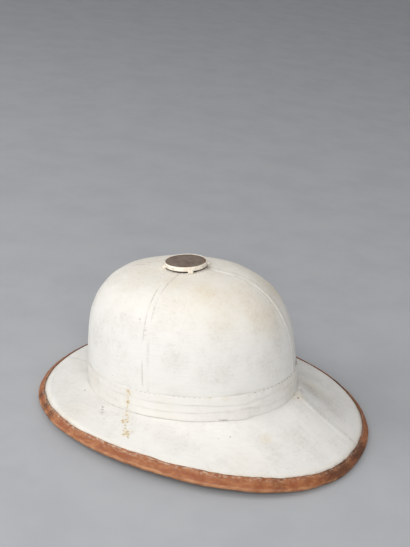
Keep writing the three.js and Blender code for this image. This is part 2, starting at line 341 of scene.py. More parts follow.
def finishPiece(piece, nodes, material, angle=50):
    # nodes: the names of what the piece stands for, if anything
    pick(piece)
    bpy.ops.object.shade_smooth_by_angle(angle=math.radians(angle))
    piece.data.materials.clear()
    piece.data.materials.append(material)
    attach(piece, 'root')
    if nodes:
        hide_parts(*nodes)
    print('made', piece.name, len(piece.data.polygons), 'faces')


# Shader sums written as plain expressions

def mathNode(operation, reflected=False):
    # a method that adds one Math node
    def apply(signal, other=0.0):
        first, second = (other, signal) if reflected else (signal, other)
        return signal.make('Math', {'operation': operation}, {0: first, 1: second})
    return apply


class Signal:
    # a socket in a material, which can be added, multiplied and so on
    __add__, __radd__ = mathNode('ADD'), mathNode('ADD', True)
    __sub__, __rsub__ = mathNode('SUBTRACT'), mathNode('SUBTRACT', True)
    __mul__, __rmul__ = mathNode('MULTIPLY'), mathNode('MULTIPLY', True)
    most, least, sine = mathNode('MAXIMUM'), mathNode('MINIMUM'), mathNode('SINE')

    def __init__(self, material, socket=None):
        self.material = material
        self.socket = socket

    def make(self, kind, settings=None, values=None, output=0):
        tree = self.material.node_tree
        node = tree.nodes.new('ShaderNode' + kind)
        for name, value in (settings or {}).items():
            setattr(node, name, value)
        for key, value in (values or {}).items():
            if isinstance(value, Signal):
                tree.links.new(value.socket, node.inputs[key])
            else:
                node.inputs[key].default_value = value
        return Signal(self.material, node.outputs[output] if node.outputs else None)

    def vector(self, operation, *others, output=0):
        values = dict(enumerate((self, *others)))
        return self.make('VectorMath', {'operation': operation}, values, output)

    def between(self, low, high, first=0.0, last=1.0):
        # eased step from first to last
        settings = {'interpolation_type': 'SMOOTHSTEP', 'clamp': True}
        values = {'Value': self, 'From Min': low, 'From Max': high, 'To Min': first, 'To Max': last}
        return self.make('MapRange', settings, values)

    def stretch(self, x, y, z):
        return self.vector('MULTIPLY', (x, y, z))

    def awayFrom(self, point):
        return self.vector('DISTANCE', point, output='Value')

    def wander(self, scale, distance):
        # this place, moved about by up to half the distance
        lumps = self.noise(scale, 2.0, 0.5, 'Color').vector('SUBTRACT', (0.5, 0.5, 0.5))
        return lumps.vector('MULTIPLY_ADD', (distance, distance, distance), self)

    def noise(self, scale, detail=2.0, rough=0.5, output='Fac'):
        values = {'Vector': self, 'Scale': scale, 'Detail': detail, 'Roughness': rough}
        return self.make('TexNoise', {}, values, output)

    def cells(self, scale, output='Distance'):
        return self.make('TexVoronoi', {}, {'Vector': self, 'Scale': scale}, output)

    def parts(self):
        return [self.make('SeparateXYZ', {}, {0: self}, axis) for axis in range(3)]

    def blend(self, first, second):
        # this signal is the share of the second colour
        values = {0: self, 6: first, 7: second}
        return self.make('Mix', {'data_type': 'RGBA', 'clamp_factor': True}, values, 2)


def startMaterial(name):
    # the empty start of a material, and Object coordinates in millimetres
    material = bpy.data.materials.new(name)
    material.use_nodes = True
    material.node_tree.nodes.clear()
    start = Signal(material)
    return start, start.make('TexCoord', {}, {}, 'Object').stretch(1 / mm, 1 / mm, 1 / mm)


def clothPlaces(start):
    # places on the piece's own UV map, in millimetres of cloth or leather
    return start.make('UVMap', {'uv_map': 'cloth'}).stretch(1 / mm, 1 / mm, 0)


def painted(start, *names):
    # the piece's own attributes
    return [start.make('Attribute', {'attribute_name': name}, {}, 'Fac') for name in names]


def bump(height):
    # height is in millimetres
    return height.make('Bump', {}, {'Height': height, 'Distance': mm, 'Strength': 1.0})


def layered(paint, first, layers):
    # paints over the first colour: each layer is the share that it covers, and its colour
    colour = paint[first]
    for covered, name in layers:
        colour = covered.blend(colour, paint[name])
    return colour


def finishMaterial(start, colour, roughness, normal, **constants):
    values = {'Base Color': colour, 'Roughness': roughness, 'Normal': normal}
    values.update((name.replace('_', ' '), value) for name, value in constants.items())
    start.make('OutputMaterial', {}, {'Surface': start.make('BsdfPrincipled', {}, values)})
    return start.material


def shade(red, green, blue):
    # a colour as a paint chart gives it, 0 to 255, made linear for the shader
    def linear(part):
        part /= 255
        return part / 12.92 if part <= 0.04045 else ((part + 0.055) / 1.055) ** 2.4
    return (linear(red), linear(green), linear(blue), 1.0)


# Camera, floor and light

cameraSettings = {
    'place': (0.88077, 0.29788, 0.53228),        # metres
    'turn': math.radians(109.601), 'height': math.radians(22.413), 'roll': math.radians(6.850),
    'lens': 67.577, 'frameHeight': 36, 'near': 0.05, 'far': 60,
}


def addCamera():
    turn, height = cameraSettings['turn'], cameraSettings['height']
    back = Vector((math.sin(turn) * math.cos(height), -math.cos(turn) * math.cos(height),
                   math.sin(height)))
    right = Vector((math.cos(turn), math.sin(turn), 0))
    up = back.cross(right)
    roll = cameraSettings['roll']
    across = right * math.cos(roll) + up * math.sin(roll)
    upright = up * math.cos(roll) - right * math.sin(roll)
    bpy.ops.object.camera_add(location=cameraSettings['place'])
    camera = bpy.context.object
    camera.name = 'camera'
    camera.rotation_euler = Matrix((across, upright, back)).transposed().to_euler()
    camera.data.sensor_fit = 'VERTICAL'
    camera.data.sensor_height = cameraSettings['frameHeight']
    camera.data.lens = cameraSettings['lens']
    camera.data.clip_start = cameraSettings['near']
    camera.data.clip_end = cameraSettings['far']
    bpy.context.scene.camera = camera


floorSettings = {
    'halfSize': 14.0, 'below': 0.0002,        # metres
    'paint': shade(178, 181, 185), 'worn': shade(173, 176, 181), 'roughness': 0.75,
}


def floorPaint():
    start, spot = startMaterial('palePaper')
    cloud = spot.noise(0.012, 3.0, 0.6).between(0.35, 0.7)
    grain = spot.noise(1.2, 2.0)
    colour = cloud.blend(floorSettings['paint'], floorSettings['worn'])
    return finishMaterial(start, colour, cloud * 0.05 + floorSettings['roughness'],
                          bump(grain * 0.05), Specular_IOR_Level=0.2)


def addFloor():
    clearSelection()
    bpy.ops.mesh.primitive_plane_add(size=2 * floorSettings['halfSize'],
                                     location=(0, 0, -floorSettings['below']))
    floor = bpy.context.object
    floor.name = 'studioFloor'
    floor.data.materials.append(floorPaint())


lightTarget = (0, 0, 0.07)
lightSettings = [
    # name, place and size in metres, watts, colour
    ('keyWindow', (2.15, 0.6, 1.35), 1.7, 41, (1.0, 0.975, 0.945)),
    ('sideWindow', (1.35, -1.8, 1.6), 1.7, 34, (1.0, 0.985, 0.965)),
    ('topPanel', (-0.2, 0.0, 2.6), 2.0, 5, (1.0, 0.99, 0.98)),
]
skyColour = (0.862, 0.852, 0.856, 1.0)
skyStrength = 0.42


def addLights():
    target = Vector(lightTarget)
    for name, place, size, watts, colour in lightSettings:
        bpy.ops.object.light_add(type='AREA', location=place)
        light = bpy.context.object
        light.name = name
        light.data.size = size
        light.data.energy = watts
        light.data.color = colour
        light.rotation_euler = (Vector(place) - target).to_track_quat('Z', 'Y').to_euler()
    world = bpy.data.worlds.new('studio')
    world.use_nodes = True
    world.node_tree.nodes['Background'].inputs['Color'].default_value = skyColour
    world.node_tree.nodes['Background'].inputs['Strength'].default_value = skyStrength
    bpy.context.scene.world = world
    bpy.context.scene.view_settings.view_transform = 'Standard'


addCamera()
addFloor()
addLights()
print('camera, floor and lights ready')


# Whitened cotton. Single marks are a column, a share, a radius in millimetres and a strength.

clothPaint = {
    'threadPitch': 0.62, 'threadDepth': 0.05, 'strokeDepth': 0.09, 'lumpDepth': 0.12,
    'white': shade(236, 235, 231),
    'thin': shade(223, 221, 216),        # where the whitening has rubbed thin
    # the last colour on the next line is painted shadow: the near-black under the ventilator cap
    'aged': shade(227, 217, 197), 'grimeAndShade': shade(134, 125, 113), 'paintedCapShadow': shade(48, 42, 36),
    'rust': shade(138, 102, 60), 'ochre': shade(216, 194, 142), 'mark': shade(104, 96, 86),
    'mottling': 0.12, 'speckScale': 0.085, 'specks': 0.42,
    'markEdge': 0.3,                     # share of a mark's radius that is solid
    'wander': 2.0,                       # how far a mark's outline strays
}


def pointOn(place, column, share):
    return place(np.array([float(column)]), np.array([float(share)]))[0]


def spotted(spot, place, marks):
    # share of each place that the marks cover
    covered = None
    wandering = spot.wander(0.7, clothPaint['wander'])
    for column, share, radius, strength in marks:
        away = wandering.awayFrom(tuple(pointOn(place, column, share)))
        dot = away.between(radius * clothPaint['markEdge'], radius, strength, 0.0)
        covered = covered.most(dot) if covered else dot
    return covered


def whitenedCloth(name, place, thread=1.0, darkMarks=(), rustMarks=()):
    paint = clothPaint
    start, spot = startMaterial(name)
    cloth = clothPlaces(start)
    across, up, _ = cloth.parts()
    wave = 2 * math.pi / paint['threadPitch']
    weave = (across * wave).sine() * (up * wave).sine()
    stroke = cloth.stretch(0.05, 0.5, 1).noise(1.0, 3.0, 0.6)
    patch = spot.noise(0.03, 4.0, 0.6)
    fine = spot.noise(0.35, 3.0, 0.6)
    aged, grimeAndShade = painted(start, 'aged', 'grimeAndShade')

    thin = (patch.between(0.42, 0.68) * 0.5 + stroke.between(0.45, 0.75) * 0.3).least(1.0)
    yellow = aged * patch.between(0.25, 0.75, 0.5, 1.35) * fine.between(0.2, 0.7, 0.75, 1.15)
    dirtAndShadeShare = grimeAndShade.least(1.0) * fine.between(0.3, 0.62, 0.5, 1.2)
    faint = fine.between(0.46, 0.72) * patch.between(0.38, 0.62) * paint['mottling']
    dot = spot.cells(paint['speckScale']).between(0.03, 0.07, 1.0, 0.0)
    chosen = spot.cells(paint['speckScale'], 'Color').parts()[0].between(0.6, 0.95)
    # the second attribute is dirt and also painted shade: under the ventilator cap, and along the
    # band's folds and lower edge; where it passes 1 it paints the near-black shadow under the cap
    layers = [(thin, 'thin'), (yellow, 'aged'), (dirtAndShadeShare, 'grimeAndShade'), (grimeAndShade - 1, 'paintedCapShadow'),
              (faint, 'grimeAndShade'), (dot * chosen * paint['specks'], 'mark')]
    if darkMarks:
        layers.append((spotted(spot, place, darkMarks), 'mark'))
    if rustMarks:
        iron = spotted(spot, place, rustMarks)
        pits = spot.noise(1.1, 2.0).between(0.5, 0.6)
        layers.append((iron.between(0.0, 0.6) * 0.7, 'ochre'))
        layers.append((iron.between(0.15, 0.7) * pits * 0.8, 'rust'))
    colour = layered(paint, 'white', layers)
    relief = weave * (paint['threadDepth'] * thread)
    relief = relief + stroke * paint['strokeDepth'] + fine * paint['lumpDepth']
    return finishMaterial(start, colour, 0.86 + thin * 0.08 - yellow * 0.05, bump(relief),
                          Specular_IOR_Level=0.3, Sheen_Weight=0.1, Sheen_Roughness=0.5)


# Crown: four gores, each lapped over the one before it

goreSettings = {
    'across': 112, 'up': 132, 'thickness': 0.9,
    'topmost': 0.999,       # directions are taken no further up than this
    'opening': 0.12,        # between a gore's end and the lap of the next
    'lapWidth': 5.4, 'lapRise': 0.24, 'lapEdge': 0.8, 'lapFade': 4.6, 'lapLumps': 0.4,
    'lapWorn': (0.8, 0.25),        # least share of the rise, and how much it varies
    'lumps': ((46, 0.34), (17, 0.13), (7, 0.045)),        # size and depth
    'gatherDepth': 0.3, 'gatherWave': 5.2, 'gatherFrom': 0.86,
    'seamDip': 0.1, 'seamAt': 0.2, 'seamWidth': 1.6, 'stitchDip': 0.2, 'stitchWidth': 0.7,
    'edgeDirt': 0.5, 'edgeDirtWidth': 0.9, 'stitchDirt': 0.34, 'stitchDirtWidth': 0.8,
    # painted shadow on the crown cloth round and under the ventilator cap, strongest just under its
    # rim
    'paintedShadeUnderCap': ((20, 27, 0.15), (18.6, 21, 1.7)),        # from, to and strength, round the cap
    'frontFlat': (0.146, 0.179), 'frontArea': 0.01945,        # metres, and square metres
    'backFlat': (0.169, 0.186), 'backArea': 0.0226,
}

# Soft stains on the crown: column, share of the way up, radius in millimetres, and strength
crownAging = [(19.0, 0.70, 46, 0.28), (16.5, 0.84, 34, 0.26), (22.0, 0.52, 30, 0.25),
              (12.8, 0.84, 18, 0.25), (6.0, 0.9, 26, 0.12), (34.0, 0.7, 40, 0.3),
              (43.0, 0.6, 34, 0.25), (28.0, 0.6, 34, 0.35)]
# Dirt on the crown, and painted shade: the three marks at 0.975 and 0.985 of the way up lie under the
# ventilator cap and paint its shadow
crownGrimeAndShade = [(22.3, 0.375, 13, 0.10), (22.6, 0.46, 9, 0.07), (15.6, 0.554, 7, 0.05),
              (14.5, 0.80, 9, 0.06), (24.4, 0.975, 9, 0.5), (18.0, 0.985, 7, 0.35),
              (29.0, 0.975, 8, 0.4), (9.8, 0.55, 7, 0.06), (36.5, 0.5, 6, 0.2),
              (41.0, 0.45, 5, 0.2), (31.0, 0.4, 7, 0.18)]
crownMarks = [(11.45, 0.56, 1.1, 0.5), (7.05, 0.19, 1.0, 0.35), (12.12, 0.505, 0.9, 0.7),
              (12.1, 0.475, 0.7, 0.6), (12.1, 0.52, 0.7, 0.5), (13.4, 0.42, 0.6, 0.5),
              (22.9, 0.62, 0.8, 0.45), (32.0, 0.5, 1.0, 0.5), (39.0, 0.33, 0.8, 0.5)]
topWarmth = {'from': 96, 'to': 150, 'share': 0.34}        # millimetres above the floor


# The ventilator sits square on the very top of the crown
ventPlace = (Matrix.Translation(Vector((0, -form['crownAhead'], form['footHeight'])) * mm)
             @ Matrix.Rotation(form['pitch'], 4, 'X')
             @ Matrix.Translation(Vector((0, -form['lean'], form['rise'])) * mm))


def fromVent(points):
    # distance of each point from the axis of the ventilator, in millimetres
    middle = np.array(ventPlace.translation) / mm
    axis = np.array(ventPlace.col[2])[:3]
    away = points - middle
    return np.linalg.norm(away - (away @ axis)[:, None] * axis, axis=1)


def dabs(points, place, marks):
    # soft round marks, added up
    solid = 0.25        # of the radius
    total = np.zeros(len(points))
    for column, share, radius, strength in marks:
        away = np.linalg.norm(points - pointOn(place, column, share), axis=1)
        total += strength * (1 - smooth(away, radius * solid, radius))
    return np.minimum(total, 1)


def ringLength(place, column, share, towards):
    # length round the helmet from each column to another, along its own row
    steps = 24
    total = np.zeros(len(column))
    before = place(column, share)
    for step in range(1, steps + 1):
        after = place(column + (towards - column) * step / steps, share)
        total += np.linalg.norm(after - before, axis=1)
        before = after
    return total


def panelPlaces(place, acrossShare, share, number, panels, opening):
    # the column of each point of a panel, its ends drawn in to leave the seams open, and how
    # far the point was from either seam
    wide = columns / panels
    column = (number + acrossShare) * wide
    fromSeam = ringLength(place, column, share, number * wide)
    toSeam = ringLength(place, column, share, (number + 1) * wide)
    middle, endFrom = 0.5, 0.47
    nearEnd = smooth(np.abs(acrossShare - middle), endFrom, middle)
    inwards = np.where(acrossShare < middle, 1, -1)
    column += inwards * nearEnd * wide / (fromSeam + toSeam) * opening / 2
    return column, fromSeam, toSeam


def makeGore(index, name, node, material):
    s = goreSettings
    gore, acrossShare, up = addSheet(name, s['across'], s['up'])
    column, fromSeam, toSeam = panelPlaces(crownAt, acrossShare, up, index, len(goreNodes),
                                           s['opening'])
    points = crownAt(column, up)
    outward = outwardOf(crownAt, column, np.minimum(up, s['topmost']))
    lap = 1 - smooth(fromSeam, s['lapWidth'] - s['lapEdge'], s['lapWidth'] + s['lapFade'])
    wornLeast, wornMore = s['lapWorn']
    height = s['lapRise'] * lap * (wornLeast + wornMore * swell(points, 20, 5))
    height += lumpy(points, s['lumps'], 20) * (1 - (1 - s['lapLumps']) * lap)
    gather = np.sin(fromSeam * 2 * np.pi / s['gatherWave'] + 2 * swell(points, 14, 31))
    height += s['gatherDepth'] * smooth(up, s['gatherFrom'], 1) * gather
    height -= s['seamDip'] * softLine(toSeam - s['seamAt'], s['seamWidth'])
    height -= s['stitchDip'] * softLine(fromSeam - s['lapWidth'], s['stitchWidth'])
    movePoints(gore, points + outward * height[:, None])

    part = 'back' if 'back' in node else 'front'
    flat = s[part + 'Flat']
    layCloth(gore, (fromSeam - toSeam) / 2, up * flat[1] / mm)
    warm = topWarmth['share'] * smooth(points[:, 2], topWarmth['from'], topWarmth['to'])
    mark(gore, 'aged', np.minimum(1, warm + dabs(points, crownAt, crownAging)))
    grimeAndShade = dabs(points, crownAt, crownGrimeAndShade)
    grimeAndShade += (s['edgeDirt'] * softLine(toSeam, s['edgeDirtWidth'])
              * smooth(swell(points, 26, 8), -1.0, 0.8))
    grimeAndShade += (s['stitchDirt'] * softLine(fromSeam - s['lapWidth'], s['stitchDirtWidth'])
              * smooth(swell(points, 24, 9), -1.2, 0.9))
    # painted shadow under the ventilator cap, added to the dirt
    for near, far, strength in s['paintedShadeUnderCap']:
        grimeAndShade += strength * (1 - smooth(fromVent(points), near, far))
    mark(gore, 'grimeAndShade', grimeAndShade)
    thicken(gore, s['thickness'])
    finishPiece(gore, [node], material, 40)


goreNodes = {
    'crownGoreFrontLeft': 'crown_gore_front_left', 'crownGoreBackLeft': 'crown_gore_back_left',
    'crownGoreBackRight': 'crown_gore_back_right', 'crownGoreFrontRight': 'crown_gore_front_right',
}
crownCloth = whitenedCloth('crownCotton', crownAt, darkMarks=crownMarks)
for index, (name, node) in enumerate(goreNodes.items()):
    makeGore(index, name, node, crownCloth)


# Brim: a left and a right cover, seamed at the front and along the ridge at the back

coverSettings = {
    'across': 330, 'out': 62, 'thickness': 0.9,
    'outmost': 0.002,       # directions are taken no nearer to the edge than this
    'opening': 0.15,
    'lumps': ((62, 0.45), (24, 0.2), (8, 0.05)),
    'seamRise': 0.35, 'seamWidth': 3.0, 'seamFade': 1.4,
    'heldIn': 0.06, 'heldOut': (0.88, 1.0),     # shares of the brim near the band and the lip
    'clothAround': 17.1, 'clothOut': 66,        # millimetres of cloth to a column, and outwards
    'leatherAging': 0.4, 'agingWidth': 6, 'seamDirt': 0.2, 'seamDirtWidth': 0.9,
    'leatherDirt': 0.3, 'leatherDirtWidth': (0.2, 1.8),
    'flat': (0.345, 0.155), 'area': 0.0272,     # metres, and square metres
}

# Stains, darker patches, single marks and rust on the brim: the share is the way outwards
brimAging = [(24.0, 0.06, 12, 0.4), (19.2, 0.357, 9, 0.5), (17.0, 0.85, 30, 0.18),
             (27.0, 0.3, 26, 0.3), (8.0, 0.9, 30, 0.15), (36.0, 0.5, 40, 0.35),
             (44.0, 0.4, 36, 0.3), (11.0, 0.33, 6, 0.5), (11.5, 0.66, 8, 0.6),
             (10.75, 0.12, 6, 0.4)]
# darker patches: the first three darken the strip just past the back ridge, on its far side
brimDarkening = [(26.4, 0.14, 22, 0.2), (26.4, 0.36, 24, 0.15), (25.8, 0.6, 20, 0.12),
             (24.8, 0.06, 7, 0.25), (21.0, 0.5, 20, 0.05), (33.0, 0.4, 9, 0.25),
             (40.0, 0.6, 7, 0.2), (46.0, 0.3, 8, 0.2), (9.2, 0.36, 5, 0.16)]
brimMarks = [(5.45, 0.185, 1.5, 0.6), (17.1, 0.287, 1.0, 0.7), (23.75, 0.097, 1.6, 0.95),
             (8.75, 0.22, 1.7, 0.85), (8.95, 0.29, 1.4, 0.8), (9.2, 0.37, 1.2, 0.6),
             (9.75, 0.51, 1.0, 0.5), (11.75, 0.774, 0.9, 0.9),
             (20.5, 0.80, 0.8, 0.4), (30.2, 0.55, 1.2, 0.5), (38.0, 0.3, 1.0, 0.5)]
brimRust = [(11.0, 0.28, 2.0, 0.8), (10.95, 0.38, 2.2, 0.9), (10.82, 0.33, 1.8, 0.8),
            (11.18, 0.33, 1.7, 0.8), (10.6, 0.06, 1.8, 0.6), (10.8, 0.15, 1.9, 0.6),
            (11.0, 0.20, 1.5, 0.6), (11.2, 0.45, 1.9, 0.7), (11.3, 0.53, 2.0, 0.7),
            (11.5, 0.61, 2.6, 0.85), (11.62, 0.67, 2.4, 0.8), (11.45, 0.70, 2.6, 0.9),
            (11.68, 0.74, 1.8, 0.7), (11.3, 0.61, 1.6, 0.6), (11.72, 0.55, 1.4, 0.5)]


# How far the leather reaches up the lip over the cloth, in millimetres, at some columns
leatherReach = ((0, 6.0), (3, 5.6), (7, 6.2), (11, 8.2), (15, 9.6), (20, 9.6), (24, 7.8),
                (28, 7.2), (36, 8.5), (44, 8.0), (48, 6.0))


def legAt(column):
    return np.interp(column, *zip(*leatherReach))


def makeCover(index, side, material):
    s = coverSettings
    cover, acrossShare, inward = addSheet('brimCover' + side, s['across'], s['out'])
    edge = 1 + form['lipShare']
    out = (1 - inward) * edge
    column, fromSeam, toSeam = panelPlaces(brimAt, acrossShare, out, index, 2, s['opening'])
    points = brimAt(column, out)
    outward = outwardOf(brimAt, column, np.minimum(out, edge - s['outmost']), -1)
    lapped = fromSeam if index else toSeam
    height = lumpy(points, s['lumps'], 40)
    height += s['seamRise'] * (1 - smooth(lapped, s['seamWidth'], s['seamWidth'] + s['seamFade']))
    height *= smooth(out, 0, s['heldIn']) * (1 - smooth(out, *s['heldOut']))
    movePoints(cover, points + outward * height[:, None])
    layCloth(cover, column * s['clothAround'], out * s['clothOut'])
    toLeather = (edge - out) * form['lipLength'] / form['lipShare'] - legAt(column)
    aging = s['leatherAging'] * (1 - smooth(toLeather, 0, s['agingWidth']))
    mark(cover, 'aged', np.minimum(1, dabs(points, brimAt, brimAging) + aging))
    grimeAndShade = dabs(points, brimAt, brimDarkening)
    grimeAndShade += s['seamDirt'] * softLine(np.minimum(fromSeam, toSeam), s['seamDirtWidth'])
    grimeAndShade += (s['leatherDirt'] * (1 - smooth(toLeather, *s['leatherDirtWidth']))
              * smooth(swell(points, 12, 48), -0.8, 0.8))
    mark(cover, 'grimeAndShade', grimeAndShade)
    thicken(cover, s['thickness'])
    finishPiece(cover, ['brim_cover_' + side.lower()], material, 40)


brimCloth = whitenedCloth('brimCotton', brimAt, darkMarks=brimMarks, rustMarks=brimRust)
for index, side in enumerate(('Left', 'Right')):
    makeCover(index, side, brimCloth)


# Folded band: one strip in three folds, lapped over its own start at the left of the back

bandSettings = {
    'around': 860, 'section': 44,
    'start': 18.62, 'lap': 0.35,        # columns
    'thickness': 0.4, 'proud': 0.75, 'clear': 0.15,
    'folds': (0.345, 0.67),             # shares of the band's height, as the next rows are
    'driftWide': 0.045, 'driftFine': 0.018, 'driftBack': 0.8,
    'overhang': 0.02, 'overhangAt': 0.06, 'overhangWidth': 0.07,
    'creaseAbove': 0.014, 'creaseWidth': 0.018, 'topFrom': 0.94,
    'foldRise': 1.0, 'foldRoll': 0.15, 'foldSlope': 0.6, 'crispVaries': 0.28,
    'flatter': (9.5, 13.5),             # the folds are painted over ahead of these columns
    'flatterFar': (38, 44), 'paintedOver': 0.28, 'painted': 0.3,
    'topDip': 0.35, 'lapRise': 0.75, 'lapColumns': (1.2, 0.2),
    'crumple': 0.3, 'crumpleColumns': (0.4, 1.0, 5.5), 'crumpleDirt': 0.1,
    'lumps': ((26, 0.14), (6, 0.06)), 'wrinkle': 0.16,
    # the fold and gap darkening on the next line is painted shade: under the edge of each upper fold,
    # and a short line in the gap under the band's lower edge
    'paintedFoldShade': 0.2, 'paintedGapShadow': 0.8, 'dashColumn': 17.2, 'dashHalf': 0.3, 'dashHeight': 0.07,
    'aged': (0.06, 0.2),                # least, and how much more in patches
    'flat': (0.66, 0.029),              # metres
}

bandRust = [(10.8, 0.86, 2.4, 0.8), (10.95, 0.76, 1.7, 0.6), (10.75, 0.6, 1.6, 0.55),
            (10.7, 0.38, 2.3, 0.85), (10.85, 0.46, 1.5, 0.6), (10.62, 0.14, 1.8, 0.6),
            (10.68, 0.24, 1.4, 0.5)]
bandAging = [(10.75, 0.8, 6, 0.45), (10.7, 0.4, 6, 0.5), (17.5, 0.98, 7, 0.5), (16.4, 0.98, 5, 0.4)]
bandMarks = [(12.4, 0.8, 0.8, 0.35), (17.4, 0.07, 1.0, 0.5), (19.9, 0.3, 0.8, 0.3)]


def bandMiddle(column, up):
    return bandAt(column, up, 0 * column + bandSettings['proud'] + bandSettings['foldRise'])


def alongBand(up, proud):
    # columns, and how far round the helmet each one is at that height of the band
    steps = np.linspace(0, columns, 400)
    line = bandAt(steps, 0 * steps + up, 0 * steps + proud)
    return steps, np.concatenate(([0], np.cumsum(np.linalg.norm(np.diff(line, axis=0), axis=1))))


def makeBand(material):
    s = bandSettings
    band, acrossShare, section = addSheet('foldedBand', s['around'], s['section'])
    turn = acrossShare * (columns + s['lap'])
    column = (s['start'] + turn) % columns
    flatPoints = bandMiddle(column, section)

    # the three folds, which are less crisp where they are painted over
    crisp = smooth(column, *s['flatter']) * (1 - smooth(column, *s['flatterFar']))
    crisp = s['paintedOver'] + (1 - s['paintedOver']) * crisp
    varies = s['crispVaries']
    crisp *= 1 - varies + varies * swell(flatPoints * [1, 1, 1.5], 34, 59)
    drift = s['driftWide'] * swell(flatPoints * [1, 1, 0], 58, 61)
    drift += s['driftFine'] * swell(flatPoints, 17, 62)
    lower, upper = s['folds']
    edges = [0 * column, lower + drift, upper - drift * s['driftBack'], 0 * column + 1]
    proud = np.zeros(len(column))
    up = section.copy()
    for low, high in zip(edges[:-1], edges[1:]):
        inside = (section >= low) & (section <= high)
        share = np.clip((section - low) / (high - low), 0, 1)
        rolled = np.sqrt(np.clip(1 - (1 - np.minimum(share / s['foldRoll'], 1)) ** 2, 0, 1))
        sloped = 1 - s['foldSlope'] * smooth(share, 0.1, 1.0)
        proud = np.where(inside, rolled * sloped * s['foldRise'], proud)
        droop = s['overhang'] * softLine(share - s['overhangAt'], s['overhangWidth'])
        up = np.where(inside & (low > 0.01), up - droop * crisp, up)
    level = s['painted'] * s['foldRise'] * smooth(section, 0, 0.3) * (1 - smooth(section, 0.6, 1.0))
    proud = s['proud'] + proud * crisp + (1 - crisp) * level

    # the upper edge, the lap, and the crumpled stretch after it
    top = smooth(section, s['topFrom'], 1.0)
    proud -= s['topDip'] * top
    lapFrom, lapTo = s['lapColumns']
    proud += s['lapRise'] * smooth(turn, columns - lapFrom, columns - lapTo)
    crumpleFull, crumpleEase, crumpleEnd = s['crumpleColumns']
    crumpled = (1 - smooth(turn, crumpleEase, crumpleEnd)) * smooth(turn, 0.0, crumpleFull)
    folds = swell(flatPoints * [0.6, 0.6, 2.6], 15, 65) + 0.3 * swell(flatPoints, 8, 64)
    proud += s['crumple'] * folds * crumpled * (1 - top)
    proud += s['wrinkle'] * swell(flatPoints * [0.5, 0.5, 3], 24, 63) * (1 - crisp)
    proud += lumpy(flatPoints, s['lumps'], 66)
    points = bandAt(column, up, np.maximum(proud, s['thickness'] + s['clear']))
    movePoints(band, points)

    around = alongBand(0.5, s['proud'] + s['foldRise'])[1][-1]
    layCloth(band, turn / columns * around, section * s['flat'][1] / mm)
    agedLeast, agedMore = s['aged']
    aging = agedLeast + agedMore * smooth(swell(points, 40, 68), 0, 1)
    mark(band, 'aged', aging + dabs(flatPoints, bandMiddle, bandAging))
    # painted shade just under the edge of each upper fold, stronger where the folds are crisp
    crease = sum(softLine(section - edge + s['creaseAbove'], s['creaseWidth']) for edge in edges[1:3])
    crease *= smooth(swell(flatPoints * [1, 1, 0.3], 21, 60), -0.9, 0.8)
    # painted shadow: a short dark line in the gap under the band's lower edge, near column 17
    paintedGapShadow = softLine(((column - s['dashColumn']) / s['dashHalf']) ** 2, 1)
    paintedGapShadow *= softLine(section, s['dashHeight'])
    mark(band, 'grimeAndShade', s['paintedFoldShade'] * crease * crisp + s['paintedGapShadow'] * paintedGapShadow
         + s['crumpleDirt'] * crumpled * smooth(swell(points, 7, 69), 0, 1))
    thicken(band, s['thickness'])
    finishPiece(band, ['folded_band'], material, 45)


makeBand(whitenedCloth('bandCotton', bandMiddle, 1.2, bandMarks, bandRust))


# Stitches that hold the band's upper edge to the crown

stitchSettings = {
    'count': 128, 'length': 3.5, 'radius': 0.2, 'sides': 8,
    'up': 0.975, 'proud': 0.86, 'wave': 0.012, 'waveStep': 3, 'sunk': 0.2, 'blunt': 0.02,
    'thread': shade(222, 219, 212), 'dirtyAndShaded': shade(84, 78, 72),
    # darkened stretches, where the thread is dirty and its colour also paints the shade of the open
    # crease along the band's top edge: from and to a column, and strength
    'dark': ((11.2, 16.0, 0.35), (16.0, 20.2, 0.65), (20.2, 26.5, 1.0), (26.5, 60.0, 0.4)),
}


def stitchPaint():
    s = stitchSettings
    start, spot = startMaterial('stitchThread')
    twist = spot.noise(2.2, 2.0)
    # darker where the thread is dirty, and where its colour paints the shade of the open crease it
    # lies in
    dirtyAndShaded = (painted(start, 'dirtyAndShaded')[0] * twist.between(0.3, 0.6, 0.7, 1.2)).least(1.0)
    colour = dirtyAndShaded.blend(s['thread'], s['dirtyAndShaded'])
    return finishMaterial(start, colour, 0.85 + twist * 0.1, bump(twist * 0.08),
                          Specular_IOR_Level=0.25)


